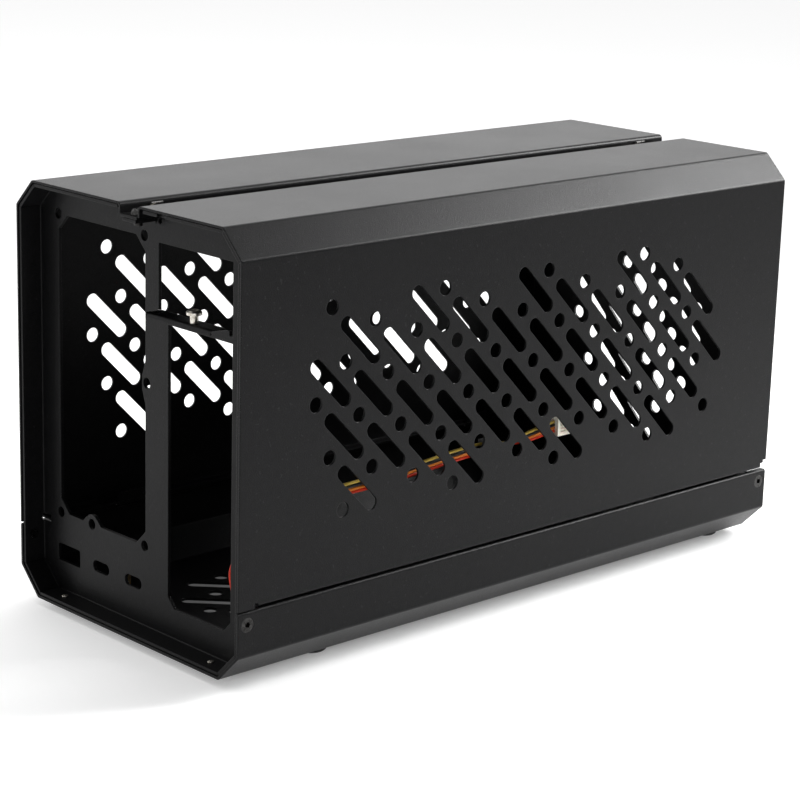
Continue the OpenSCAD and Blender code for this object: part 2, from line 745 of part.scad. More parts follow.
// White plug housing: its back wall meets the wires, its open mouth points away from them
module plug() {
  difference() {
    translate([0, -2.2, -3.6]) cube([plug_l, 4.4, 7.2]);
    translate([2.5, -1.4, -2.8]) cube([plug_l, 2.8, 5.6]);
    for (s = [-1.5:1:1.5]) translate([1, -2.2 - past, s * wire_pitch - 0.35]) cube([3, past + 0.5, 0.7]);
  }
}

module lead_plug() {
  last = lead_route[len(lead_route) - 1];
  color("#e8e4da") placed() translate(last) plug();
}

module board_plug() {
  color("#e8e4da") placed() translate(lead_route[0]) plug();
}

// Saddle clips that hold the lead on the inside of the near cover
module lead_clips() {
  hole_w = wire_d + 0.3;
  hole_h = 3 * wire_pitch + wire_d + 0.7;
  color("#232324") placed() for (i = [12, 15.5]) {
    p = (lead_route[floor(i)] + lead_route[ceil(i)]) / 2;
    translate([p[0] - lead_clip_l / 2, 0, p[2]]) difference() {
      translate([0, cover_sheet + fit_gap, -hole_h / 2 - lead_clip_wall])
        cube([lead_clip_l, wire_y - cover_sheet + hole_w / 2 + lead_clip_wall - fit_gap,
          hole_h + 2 * lead_clip_wall]);
      translate([-past, wire_y - hole_w / 2, -hole_h / 2]) cube([lead_clip_l + 2 * past, hole_w, hole_h]);
    }
  }
}

bottom_tray();
near_cover();
far_cover();
rear_panel();
front_panel();
top_rail();
rear_seam_clip();
front_seam_clip();
clip_rivets();
rail_screws();
side_screws();
floor_rivets();
card_screw();
rear_near_foot();
rear_far_foot();
front_near_foot();
front_far_foot();
foot_screws();
foot_nuts();
board_standoffs();
yellow_wire();
black_wire();
orange_wire();
red_wire();
lead_plug();
board_plug();
lead_clips();
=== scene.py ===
"""Looks of an open-ended, folded sheet metal frame for a graphics card and its power supply.

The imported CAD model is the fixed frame: its sheet metal, screws, feet and plugs keep their shape
and are dressed here with procedural finishes. The wires of the internal lead are made anew as round
tubes that wander a little, turn over once behind the rear corner and lean over before the white
plug. Everything is in metres in the row frame: +X along the length, +Y across, +Z up from the
surface that the part stands on.
"""

from __future__ import annotations

import logging
import math
from dataclasses import dataclass, field
from enum import Enum
from typing import Any, Mapping, Sequence, Union

import bpy
import numpy as np
from mathutils import Matrix, Vector


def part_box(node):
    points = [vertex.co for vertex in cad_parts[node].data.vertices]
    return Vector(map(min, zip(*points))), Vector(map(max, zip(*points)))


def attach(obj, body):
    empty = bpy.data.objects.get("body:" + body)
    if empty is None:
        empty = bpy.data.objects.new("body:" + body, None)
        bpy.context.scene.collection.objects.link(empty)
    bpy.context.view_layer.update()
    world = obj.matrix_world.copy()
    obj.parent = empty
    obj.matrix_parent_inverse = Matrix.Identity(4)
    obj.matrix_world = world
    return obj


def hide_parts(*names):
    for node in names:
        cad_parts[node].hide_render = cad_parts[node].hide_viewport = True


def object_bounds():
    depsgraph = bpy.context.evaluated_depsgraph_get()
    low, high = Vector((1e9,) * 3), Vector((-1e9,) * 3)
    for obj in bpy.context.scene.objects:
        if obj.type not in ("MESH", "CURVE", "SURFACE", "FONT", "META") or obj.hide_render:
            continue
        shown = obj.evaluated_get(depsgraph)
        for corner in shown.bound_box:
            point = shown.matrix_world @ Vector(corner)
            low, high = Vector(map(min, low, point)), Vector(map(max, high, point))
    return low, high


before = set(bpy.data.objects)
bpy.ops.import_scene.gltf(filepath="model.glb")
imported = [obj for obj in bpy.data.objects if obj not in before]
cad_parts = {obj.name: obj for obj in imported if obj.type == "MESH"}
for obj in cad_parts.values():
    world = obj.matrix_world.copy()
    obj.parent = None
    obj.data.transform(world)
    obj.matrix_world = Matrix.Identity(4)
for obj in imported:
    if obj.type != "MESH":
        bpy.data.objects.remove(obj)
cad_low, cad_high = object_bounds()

MM = 0.001

logging.basicConfig(level=logging.INFO, format="%(message)s")
log = logging.getLogger("graphics_card_frame")

Colour = tuple[float, float, float]
Place = tuple[float, float, float]
WHITE: Colour = (1.0, 1.0, 1.0)
BLACK: Colour = (0.0, 0.0, 0.0)


# ---------------------------------------------------------------- shader expressions


@dataclass(frozen=True)
class Signal:
    """An output socket in a node tree that is used like a number in Python expressions.

    Args:
        graph: The tree that the socket belongs to.
        socket: The output socket itself.
    """

    graph: "Graph"
    socket: bpy.types.NodeSocket

    def _math(self, operation: str, first: "Operand", second: "Operand") -> "Signal":
        """Adds a Math node for one operation on two operands."""
        return self.graph.node(
            "ShaderNodeMath", {"operation": operation}, {0: first, 1: second}
        )

    def __add__(self, other: "Operand") -> "Signal":
        """Sum of two signals."""
        return self._math("ADD", self, other)

    def __radd__(self, other: "Operand") -> "Signal":
        """Sum with the number on the left."""
        return self._math("ADD", other, self)

    def __sub__(self, other: "Operand") -> "Signal":
        """Difference of two signals."""
        return self._math("SUBTRACT", self, other)

    def __rsub__(self, other: "Operand") -> "Signal":
        """Difference with the number on the left."""
        return self._math("SUBTRACT", other, self)

    def __mul__(self, other: "Operand") -> "Signal":
        """Product of two signals."""
        return self._math("MULTIPLY", self, other)

    def __rmul__(self, other: "Operand") -> "Signal":
        """Product with the number on the left."""
        return self._math("MULTIPLY", other, self)

    def clamped(self) -> "Signal":
        """The signal kept between 0 and 1."""
        return self.graph.node("ShaderNodeClamp", {}, {"Value": self})

    def band(self, low: float, high: float) -> "Signal":
        """Smooth step of the signal: 0 below low, 1 above high.

        Args:
            low: Value where the step starts.
            high: Value where the step ends.

        Returns:
            The stepped signal.
        """
        return self.graph.node(
            "ShaderNodeMapRange",
            {"interpolation_type": "SMOOTHSTEP"},
            {"Value": self, "From Min": low, "From Max": high},
        )


Operand = Union[Signal, float]
Tint = Union[Signal, Colour]


class Graph:
    """Builds one material's node tree from Python expressions."""

    def __init__(self, name: str) -> None:
        """Makes an empty material.

        Args:
            name: Name of the material.
        """
        self.material = bpy.data.materials.new(name)
        self.material.use_nodes = True
        self.tree = self.material.node_tree
        self.tree.nodes.clear()

    def node(
        self,
        kind: str,
        settings: Mapping[str, Any],
        inputs: Mapping[Union[str, int], Any],
        output: Union[str, int] = 0,
    ) -> Signal:
        """Adds any node, sets it up and wires it.

        Args:
            kind: Blender's name of the node type.
            settings: Attributes that are set first, such as a Math node's operation.
            inputs: Values or signals for the node's sockets, by name or number.
            output: Name or number of the output that is returned.

        Returns:
            The wanted output as a signal.
        """
        made = self.tree.nodes.new(kind)
        for key, value in settings.items():
            setattr(made, key, value)
        for key, value in inputs.items():
            if isinstance(value, Signal):
                self.tree.links.new(value.socket, made.inputs[key])
            else:
                made.inputs[key].default_value = value
        socket = made.outputs[output] if made.outputs else made.inputs[0]
        return Signal(self, socket)

    def position(self) -> Signal:
        """Object coordinates, which are metres in the row frame on every piece."""
        return self.node("ShaderNodeTexCoord", {}, {}, "Object")

    def part(self, where: Signal, axis: str) -> Signal:
        """One coordinate of a vector, by its letter."""
        return self.node("ShaderNodeSeparateXYZ", {}, {0: where}, axis)

    def grain(self, where: Signal, size: float, detail: float = 2.0, rough: float = 0.5) -> Signal:
        """Noise with grains of a real size.

        Args:
            where: Coordinates in metres.
            size: Size of one grain in metres.
            detail: Octaves of finer noise.
            rough: Strength of the finer octaves.

        Returns:
            The noise, around 0.5.
        """
        return self.node(
            "ShaderNodeTexNoise",
            {"noise_dimensions": "3D"},
            {"Vector": where, "Scale": 1.0 / size, "Detail": detail, "Roughness": rough},
            "Fac",
        )

    def blend(self, share: Operand, first: "Tint", second: "Tint") -> Signal:
        """Mix of two colours.

        Args:
            share: Share of the second colour.
            first: Colour at share 0.
            second: Colour at share 1.

        Returns:
            The mixed colour.
        """
        return self.node(
            "ShaderNodeMix",
            {"data_type": "RGBA"},
            {0: share, 6: self._rgba(first), 7: self._rgba(second)},
            2,
        )

    def bump(
        self, height: Signal, depth: float, strength: float = 1.0, base: Signal | None = None
    ) -> Signal:
        """Normal of a surface with a height pattern on it.

        Args:
            height: Pattern between 0 and 1.
            depth: Height of the pattern in metres.
            strength: Share of the pattern that is shown.
            base: Normal that the pattern is laid on.

        Returns:
            The bumped normal.
        """
        inputs: dict[Union[str, int], Any] = {
            "Height": height,
            "Distance": depth,
            "Strength": strength,
        }
        if base is not None:
            inputs["Normal"] = base
        return self.node("ShaderNodeBump", {}, inputs)

    def rounded(self, radius: float) -> Signal:
        """Normal with the edges of the surface rounded to a radius in metres."""
        return self.node("ShaderNodeBevel", {"samples": 6}, {"Radius": radius})

    def surface(
        self, varying: Mapping[str, Any], constants: Mapping[str, Any]
    ) -> bpy.types.Material:
        """Ends the tree with its shader.

        Args:
            varying: Signals or values for the sockets that may change over the surface.
            constants: Plain values for the shader's other sockets.

        Returns:
            The finished material.
        """
        colours = ("Base Color", "Emission Color")
        values = {
            key: self._rgba(value) if key in colours else value
            for key, value in {**constants, **varying}.items()
        }
        shader = self.node("ShaderNodeBsdfPrincipled", {}, values)
        self.node("ShaderNodeOutputMaterial", {}, {"Surface": shader})
        return self.material

    @staticmethod
    def _rgba(colour: Any) -> Any:
        """A colour with its alpha, or the signal as it is."""
        return colour if isinstance(colour, Signal) else (*colour, 1.0)


# ---------------------------------------------------------------- finishes


@dataclass(frozen=True)
class PowderCoat:
    """Fine sandy matt black powder coat on folded sheet.

    Args:
        name: Name of the material.
        dark: Colour of the coat in the hollows.
        light: Colour on the crests of the grain.
        grain_size: Size of the sandy grain in metres.
        grain_depth: Height of the grain in metres.
        peel_size: Size of the broader, flatter swell under the grain, in metres.
        peel_share: Share of that swell in the colour and in the height.
        drift_size: Size of the soft drifts of roughness, in metres.
        dust_size: Distance between the few light specks, in metres.
        dust_colour: Colour of those specks.
        dust_share: How strongly they show, from 0 to 1.
        roughness: Middle roughness of the coat.
        gloss: Strength of its clear reflections, where 0.5 is that of common plastic.
        edge_radius: Radius to which the coat rounds the cut edges, in metres.
    """

    name: str = "powder_coat"
    dark: Colour = (0.0040, 0.0040, 0.0043)
    light: Colour = (0.0090, 0.0090, 0.0095)
    grain_size: float = 0.50 * MM
    grain_depth: float = 0.060 * MM
    peel_size: float = 2.5 * MM
    peel_share: float = 0.25
    drift_size: float = 46 * MM
    dust_size: float = 1.3 * MM
    dust_colour: Colour = (0.034, 0.034, 0.035)
    dust_share: float = 0.35
    roughness: float = 0.33
    gloss: float = 0.117
    edge_radius: float = 0.38 * MM

    def material(self) -> bpy.types.Material:
        """The coat: grain in colour, roughness and bump, with broad soft drifts over it.

        Returns:
            The coat's material.
        """
        graph = Graph(self.name)
        where = graph.position()
        fine = graph.grain(where, self.grain_size, rough=0.6)
        orange_peel = graph.grain(where, self.peel_size)
        drift = graph.grain(where, self.drift_size, detail=3.0, rough=0.55)
        dust = graph.grain(where, self.dust_size, detail=1.0).band(0.69, 0.78)
        grain_part = fine.band(0.34, 0.72) * (1.0 - self.peel_share)
        crest = (grain_part + orange_peel.band(0.3, 0.7) * self.peel_share).clamped()
        colour = graph.blend(crest, self.dark, self.light)
        colour = graph.blend(dust * self.dust_share, colour, self.dust_colour)
        roughness = (
            self.roughness + (drift - 0.5) * 0.10 + (fine - 0.5) * 0.16 + dust * 0.06
        ).clamped()
        height = fine + orange_peel * self.peel_share
        normal = graph.bump(height, self.grain_depth, base=graph.rounded(self.edge_radius))
        return graph.surface(
            {"Base Color": colour, "Roughness": roughness, "Normal": normal},
            {"Specular IOR Level": self.gloss},
        )


@dataclass(frozen=True)
class PlatedMetal:
    """Turned and plated metal: zinc, nickel, black oxide or plain brass.

    Args:
        name: Name of the material.
        bright: Colour of the clean metal.
        dull: Colour of its tarnished patches.
        roughness: Middle roughness.
        metallic: Share of metal in the surface.
        turning: Pitch of the fine turning marks in metres.
        patch_size: Size of the tarnished patches in metres.
        mark_depth: Depth of marks and patches in metres.
        edge_radius: Radius of the softened edges in metres.
    """

    name: str
    bright: Colour
    dull: Colour
    roughness: float = 0.28
    metallic: float = 1.0
    turning: float = 0.12 * MM
    patch_size: float = 1.1 * MM
    mark_depth: float = 0.006 * MM
    edge_radius: float = 0.12 * MM

    def material(self) -> bpy.types.Material:
        """The metal: tarnish in patches, fine turning marks and softened edges.

        Returns:
            The metal's material.
        """
        graph = Graph(self.name)
        where = graph.position()
        patches = graph.grain(where, self.patch_size, detail=3.0, rough=0.6)
        marks = graph.node(
            "ShaderNodeTexWave",
            {"wave_type": "BANDS", "bands_direction": "Z"},
            {"Vector": where, "Scale": 0.3 / self.turning, "Distortion": 1.5, "Detail": 1.0},
            "Fac",
        )
        colour = graph.blend(patches.band(0.35, 0.75), self.bright, self.dull)
        roughness = (self.roughness + (patches - 0.5) * 0.22 + marks * 0.05).clamped()
        height = marks * 0.5 + patches * 0.5
        edges = graph.rounded(self.edge_radius)
        normal = graph.bump(height, self.mark_depth, strength=0.8, base=edges)
        return graph.surface(
            {"Base Color": colour, "Roughness": roughness, "Normal": normal},
            {"Metallic": self.metallic},
        )


@dataclass(frozen=True)
class Polymer:
    """Moulded or drawn plastic and rubber.

    Args:
        name: Name of the material.
        colour: Main colour.
        shade: Colour in the hollows and where it is handled.
        roughness: Middle roughness.
        grain_size: Size of its skin's grain in metres.
        grain_depth: Height of the grain in metres.
        drift_grains: Size of the soft drifts in its tint, in grains.
        softness: Share of light that passes under its skin.
        scatter: How far that light goes under the skin, in metres.
        gloss: Strength of its clear reflections, where 0.5 is that of common plastic.
    """

    name: str
    colour: Colour
    shade: Colour
    roughness: float = 0.45
    grain_size: float = 0.5 * MM
    grain_depth: float = 0.012 * MM
    drift_grains: float = 9.0
    softness: float = 0.0
    scatter: float = 0.5 * MM
    gloss: float = 0.5

    def material(self) -> bpy.types.Material:
        """The plastic: a slightly uneven skin over an uneven tint.

        Returns:
            The plastic's material.
        """
        graph = Graph(self.name)
        where = graph.position()
        skin = graph.grain(where, self.grain_size)
        drift = graph.grain(where, self.grain_size * self.drift_grains)
        colour = graph.blend((skin * 0.4 + drift * 0.6).band(0.35, 0.65), self.colour, self.shade)
        roughness = (self.roughness + (drift - 0.5) * 0.2 + (skin - 0.5) * 0.1).clamped()
        normal = graph.bump(skin, self.grain_depth)
        return graph.surface(
            {"Base Color": colour, "Roughness": roughness, "Normal": normal},
            {
                "Subsurface Weight": self.softness,
                "Subsurface Scale": self.scatter,
                "Specular IOR Level": self.gloss,
            },
        )


@dataclass(frozen=True)
class PaleFloor:
    """Pale matt studio floor.

    Args:
        name: Name of the material.
        colour: Colour of the floor.
        glow: Light that comes up through it, as on a lit photo table.
        mottle_size: Size of its hardly visible patches in metres.
        shaded: Half length and half width, in metres, of the painted shadow under the object.
        shade_edge: Width of its soft edge in metres.
        painted_shade_colour_loss: Share of the floor's colour that is lost there.
        painted_shade_glow_loss: Share of the glow that is lost there.
    """

    name: str = "pale_floor"
    colour: Colour = (0.90, 0.90, 0.90)
    glow: float = 0.35
    mottle_size: float = 0.3
    shaded: tuple[float, float] = (0.125, 0.040)
    shade_edge: float = 15 * MM
    painted_shade_colour_loss: float = 0.75
    painted_shade_glow_loss: float = 0.80

    def material(self) -> bpy.types.Material:
        """The floor: hardly uneven, with a painted shadow under the object that darkens its colour and
        dims its glow.

        Formula: under = (1 - step of |x| past the half length) * (1 - step of |y| past the half
        width).

        Returns:
            The floor's material.
        """
        graph = Graph(self.name)
        where = graph.position()
        mottle = graph.grain(where, self.mottle_size, detail=3.0)
        colour = graph.blend(mottle, self.colour, tuple(0.985 * c for c in self.colour))
        beside = [
            graph.node("ShaderNodeMath", {"operation": "ABSOLUTE"}, {0: graph.part(where, axis)})
            .band(half, half + self.shade_edge)
            for axis, half in zip("XY", self.shaded)
        ]
        # painted shadow under the object: darker floor colour and less glow inside this box
        under = (1.0 - beside[0]) * (1.0 - beside[1])
        colour = graph.blend(under * self.painted_shade_colour_loss, colour, BLACK)
        light = graph.blend(under * self.painted_shade_glow_loss, WHITE, BLACK)
        return graph.surface(
            {"Base Color": colour, "Emission Color": light},
            {"Roughness": 0.9, "Specular IOR Level": 0.1, "Emission Strength": self.glow},
        )


def insulation(name: str, colour: Colour, shade: Colour) -> Polymer:
    """Satin insulation of one wire.

    Args:
        name: Name of its colour.
        colour: Main colour.
        shade: Colour of its darker stretches.

    Returns:
        The finish.
    """
    return Polymer(
        f"{name}_insulation", colour, shade, roughness=0.42, grain_size=0.9 * MM, gloss=0.2
    )


class Finish(Enum):
    """Every finish on the object, by the name of its slot in the record.

    Spring steel is the look of the seam clips alone: the record counts them as zinc.
    """

    POWDER_COAT = PowderCoat()
    SPRING_STEEL = PlatedMetal(
        "spring_steel", bright=(0.20, 0.195, 0.19), dull=(0.07, 0.068, 0.065), roughness=0.24
    )
    ZINC = PlatedMetal("zinc", bright=(0.78, 0.75, 0.69), dull=(0.50, 0.46, 0.38), roughness=0.27)
    BLACK_SCREW = PlatedMetal(
        "black_screw", bright=(0.050, 0.049, 0.048), dull=(0.022, 0.0215, 0.021), roughness=0.24
    )
    BRASS = PlatedMetal("brass", bright=(0.80, 0.62, 0.34), dull=(0.58, 0.40, 0.18), roughness=0.30)
    FOOT_RUBBER = Polymer(
        "foot_rubber",
        colour=(0.020, 0.020, 0.020),
        shade=(0.032, 0.032, 0.031),
        roughness=0.72,
        grain_size=0.4 * MM,
        grain_depth=0.02 * MM,
    )
    WHITE_NYLON = Polymer(
        "white_nylon",
        colour=(0.80, 0.77, 0.68),
        shade=(0.70, 0.66, 0.55),
        roughness=0.40,
        grain_depth=0.01 * MM,
        softness=0.15,
    )
    BLACK_NYLON = Polymer(
        "black_nylon", colour=(0.016, 0.016, 0.017), shade=(0.024, 0.024, 0.024), roughness=0.42
    )
    YELLOW_INSULATION = insulation("yellow", (0.56, 0.40, 0.07), (0.46, 0.32, 0.05))
    BLACK_INSULATION = insulation("black", (0.010, 0.010, 0.010), (0.014, 0.014, 0.014))
    ORANGE_INSULATION = insulation("orange", (0.78, 0.22, 0.025), (0.66, 0.18, 0.02))
    RED_INSULATION = insulation("red", (0.66, 0.035, 0.010), (0.55, 0.028, 0.008))


class Paints:
    """Makes each finish's material once and lends it out."""

    def __init__(self) -> None:
        """Starts with no material made."""
        self._made: dict[Finish, bpy.types.Material] = {}

    def of(self, finish: Finish) -> bpy.types.Material:
        """Lends out the material of a finish.

        Args:
            finish: The wanted finish.

        Returns:
            Its material, made at the first call.
        """
        if finish not in self._made:
            self._made[finish] = finish.value.material()
        return self._made[finish]

    def dress(self, piece: bpy.types.Object, finish: Finish) -> None:
        """Gives a piece one finish all over.

        Args:
            piece: A CAD node or a new mesh.
            finish: The finish it gets.
        """
        piece.data.materials.clear()
        piece.data.materials.append(self.of(finish))


# ---------------------------------------------------------------- meshes


def grid_mesh(name: str, points: np.ndarray, closed_across: bool, capped: bool) -> bpy.types.Object:
    """Makes a mesh from a grid of points.

    Formula: point (i, j) is joined to (i+1, j), (i+1, j+1) and (i, j+1). Where the grid is closed
    across, the last column joins the first, and a capped tube gets one face at each end.

    Args:
        name: Name of the new piece.
        points: Array of rows by columns by 3, in metres.
        closed_across: Whether each row is a ring.
        capped: Whether the first and last rings are filled.

    Returns:
        The new object, at the origin, smoothly shaded.
    """
    rows, columns = points.shape[:2]
    across = columns if closed_across else columns - 1
    i, j = np.meshgrid(np.arange(rows - 1), np.arange(across), indexing="ij")
    right = (j + 1) % columns
    here, beyond = i * columns, (i + 1) * columns
    quads = np.stack([here + j, here + right, beyond + right, beyond + j], axis=-1).reshape(-1, 4)
    loops = quads.ravel()
    starts = np.arange(len(quads)) * 4
    if capped:
        first = np.arange(columns)[::-1]
        last = (rows - 1) * columns + np.arange(columns)
        starts = np.concatenate([starts, [len(loops), len(loops) + columns]])
        loops = np.concatenate([loops, first, last])
    mesh = bpy.data.meshes.new(name)
    mesh.vertices.add(rows * columns)
    mesh.vertices.foreach_set("co", points.reshape(-1).astype(np.float32))
    mesh.loops.add(len(loops))
    mesh.loops.foreach_set("vertex_index", loops.astype(np.int32))
    mesh.polygons.add(len(starts))
    mesh.polygons.foreach_set("loop_start", starts.astype(np.int32))
    mesh.update(calc_edges=True)
    mesh.validate()
    mesh.polygons.foreach_set("use_smooth", np.ones(len(mesh.polygons), dtype=bool))
    piece = bpy.data.objects.new(name, mesh)
    bpy.context.scene.collection.objects.link(piece)
    return piece


def smooth_path(knots: np.ndarray, per_span: int) -> np.ndarray:
    """Rounds a route through its knots.

    Formula: a Catmull-Rom spline. The tangent at a knot is half the way from the knot before to the
    one after.

    Args:
        knots: Array of knots by 3.
        per_span: New points for each span.

    Returns:
        Array of points by 3 that passes through every knot.
    """
    padded = np.concatenate([[2 * knots[0] - knots[1]], knots, [2 * knots[-1] - knots[-2]]])
    t = np.linspace(0.0, 1.0, per_span, endpoint=False)[None, :, None]
    a, b, c, d = (padded[k:len(padded) - 3 + k][:, None, :] for k in range(4))
    bend = 2 * a - 5 * b + 4 * c - d
    twist = 3 * b - a - 3 * c + d
    spans = 0.5 * (2 * b + (c - a) * t + bend * t**2 + twist * t**3)
    return np.concatenate([spans.reshape(-1, 3), knots[-1:]])


def cross_directions(path: np.ndarray) -> tuple[np.ndarray, np.ndarray]:
    """The two directions that stand square to a path.

    Formula: across = the path's direction crossed with +Y, and side = the path's direction crossed
    with across, all of length 1.

    Args:
        path: Array of points by 3.

    Returns:
        Across and side at each point, as two arrays of points by 3.
    """
    along = np.gradient(path, axis=0)
    along /= np.linalg.norm(along, axis=1, keepdims=True)
    across = np.cross(along, np.array([0.0, 1.0, 0.0]))
    across /= np.linalg.norm(across, axis=1, keepdims=True)
    return across, np.cross(along, across)


def tube(name: str, path: np.ndarray, radius: float, sides: int) -> bpy.types.Object:
    """Carries a circle along a path.

    Formula: ring = path point + radius * (cos a * across + sin a * side).

    Args:
        name: Name of the new piece.
        path: Array of points by 3, in metres.
        radius: Radius in metres.
        sides: Points on each ring.

    Returns:
        The closed tube.
    """
    across, side = cross_directions(path)
    angle = np.linspace(0.0, 2 * np.pi, sides, endpoint=False)[None, :, None]
    rings = path[:, None, :] + radius * (
        np.cos(angle) * across[:, None, :] + np.sin(angle) * side[:, None, :]
    )
    return grid_mesh(name, rings, closed_across=True, capped=True)


# ---------------------------------------------------------------- the object


@dataclass
class SheetMetal:
    """The folded and coated sheets: tray, covers, end panels and rail.

    Args:
        nodes: Names of the CAD nodes.
    """

    nodes: tuple[str, ...] = (
        "bottom_tray",
        "near_cover",
        "far_cover",
        "rear_panel",
        "front_panel",
        "top_rail",
    )

    def dress(self, paints: Paints) -> None:
        """Coats every sheet.

        Args:
            paints: The store of materials.
        """
        for node in self.nodes:
            paints.dress(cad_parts[node], Finish.POWDER_COAT)
            log.info("%s: coated sheet", node)


@dataclass
class Hardware:
    """Screws, rivets, nuts, standoffs, clips, plugs and feet.

    Args:
        nodes: The finish of each CAD node.
    """

    nodes: Mapping[str, Finish] = field(
        default_factory=lambda: {
            "rear_seam_clip": Finish.SPRING_STEEL,
            "front_seam_clip": Finish.SPRING_STEEL,
            "clip_rivets": Finish.ZINC,
            "rail_screws": Finish.BLACK_SCREW,
            "side_screws": Finish.BLACK_SCREW,
            "floor_rivets": Finish.ZINC,
            "card_screw": Finish.ZINC,
            "foot_screws": Finish.ZINC,
            "foot_nuts": Finish.ZINC,
            "board_standoffs": Finish.BRASS,
            "rear_near_foot": Finish.FOOT_RUBBER,
            "rear_far_foot": Finish.FOOT_RUBBER,
            "front_near_foot": Finish.FOOT_RUBBER,
            "front_far_foot": Finish.FOOT_RUBBER,
            "lead_plug": Finish.WHITE_NYLON,
            "board_plug": Finish.WHITE_NYLON,
            "lead_clips": Finish.BLACK_NYLON,
        }
    )

    def dress(self, paints: Paints) -> None:
        """Gives each small part its finish.

        Args:
            paints: The store of materials.
        """
        for node, finish in self.nodes.items():
            paints.dress(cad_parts[node], finish)
            log.info("%s: %s", node, finish.value.name)


@dataclass
class InternalLead:
    """Flat four-wire lead along the near cover, from the plug on the floor to the white plug.

    Args:
        knots: Route of the lead's middle, in millimetres from the port end, the near side and the
            tray's underside.
        wire_radius: Radius of one wire in metres.
        pitch: Distance between two wires in metres.
        wander: How far a wire strays from its neighbours in metres.
        sways: Lengths of one radian of the two slow sines by which it strays, in metres.
        lags: Angles in radians by which the sines of two neighbours differ.
        twist_from: Length along the route where the flat row starts to turn over, in metres.
        twist_to: Length where it has turned over by half a turn, in metres.
        lean: Angle by which the row leans over before the white plug, in radians.
        lean_at: Distance of the middle of that lean from the port end, in metres.
        lean_span: Half length of the lean, in metres.
        sides: Points on each ring of a wire.
        per_span: Rings for each span of the route.
        fade_length: Length at each end over which the wires come back to a straight row, in metres.
        wires: Each wire's colour, its place in the row in pitches, and its finish.
    """

    knots: Sequence[tuple[float, float, float]] = (
        (38, 13, 4.4), (31, 13, 4.6), (24.5, 13.5, 7), (19, 15, 13), (15.2, 17, 21),
        (13.2, 17.8, 29), (12.6, 17.4, 36.5), (15.5, 13, 45), (22, 8, 52.5), (32, 4.8, 57.8),
        (43, 3.4, 60.2), (54, 3, 61), (70, 3, 61.5), (84, 3, 62.2), (98, 3, 63.2),
        (112, 3, 64), (124, 3, 63.9), (138, 3, 64.1), (155, 3, 66),
    )
    wire_radius: float = 0.575 * MM
    pitch: float = 1.2 * MM
    wander: float = 0.12 * MM
    sways: tuple[float, float] = (9 * MM, 23 * MM)
    lags: tuple[float, float] = (2.1, -3.7)
    twist_from: float = 48 * MM
    twist_to: float = 72 * MM
    lean: float = 1.1
    lean_at: float = 129 * MM
    lean_span: float = 9 * MM
    sides: int = 14
    per_span: int = 8
    fade_length: float = 8 * MM
    wires: tuple[tuple[str, float, Finish], ...] = (
        ("yellow", 1.5, Finish.YELLOW_INSULATION),
        ("black", 0.5, Finish.BLACK_INSULATION),
        ("orange", -0.5, Finish.ORANGE_INSULATION),
        ("red", -1.5, Finish.RED_INSULATION),
    )

    def route(self) -> np.ndarray:
        """The lead's middle line in the row frame, in metres."""
        tray_corner = np.array([cad_low.x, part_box("bottom_tray")[0].y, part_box("bottom_tray")[0].z])
        return smooth_path(np.array(self.knots, float) * MM, self.per_span) + tray_corner

    def build(self, paints: Paints) -> None:
        """Makes each wire as a round tube that strays a little from the row, which turns over once.

        Formula: wire = route + (shift + wander * mean of two slow sines of the length) * (cos t *
        across + sin t * side). There t goes from half a turn to 0 between twist_from and twist_to
        as a smooth step, and rises again to lean in a bell round lean_at.

        Args:
            paints: The store of materials.
        """
        middle = self.route()
        across, side = cross_directions(middle)
        length = np.concatenate([[0.0], np.cumsum(np.linalg.norm(np.diff(middle, axis=0), axis=1))])
        fade = np.clip(np.minimum(length, length[-1] - length) / self.fade_length, 0.0, 1.0)
        step = np.clip((length - self.twist_from) / (self.twist_to - self.twist_from), 0.0, 1.0)
        turn = np.pi * (1.0 - step * step * (3.0 - 2.0 * step))
        past_lean = (middle[:, 0] - cad_low.x - self.lean_at) / self.lean_span
        turn += self.lean * np.exp(-(past_lean**2))
        row = np.cos(turn)[:, None] * across + np.sin(turn)[:, None] * side
        quick, slow = self.sways
        quick_lag, slow_lag = self.lags
        for colour, place, finish in self.wires:
            sway = np.sin(length / quick + place * quick_lag)
            sway += np.sin(length / slow + place * slow_lag)
            shift = place * self.pitch + self.wander * 0.5 * sway * fade
            path = middle + row * shift[:, None]
            piece = tube(f"{colour}_wire_round", path, self.wire_radius, self.sides)
            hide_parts(f"{colour}_wire")
            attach(piece, "root")
            paints.dress(piece, finish)
            log.info("%s: %d faces", piece.name, len(piece.data.polygons))


# ---------------------------------------------------------------- the studio


@dataclass(frozen=True)
class Softbox:
    """One soft area light.

    Args:
        name: Name of the light.
        place: Where its middle is, in metres.
        aim: The point it faces, in metres.
        size: Width and height in metres.
        watts: Power of the light.
        spread: Angle of its beam in degrees, as a grid on the softbox gives it.
    """

    name: str
    place: Place
    aim: Place
    size: tuple[float, float]
    watts: float
    spread: float = 180.0

    def build(self) -> None:
        """Adds the light to the scene."""
        data = bpy.data.lights.new(self.name, "AREA")
        data.shape = "RECTANGLE"
        data.size, data.size_y = self.size
        data.energy = self.watts
        data.spread = math.radians(self.spread)
        light = bpy.data.objects.new(self.name, data)
        light.location = self.place
        beam = Vector(self.aim) - Vector(self.place)
        light.rotation_euler = beam.to_track_quat("-Z", "Y").to_euler()
        bpy.context.scene.collection.objects.link(light)
        log.info("%s: %.2f W", self.name, self.watts)


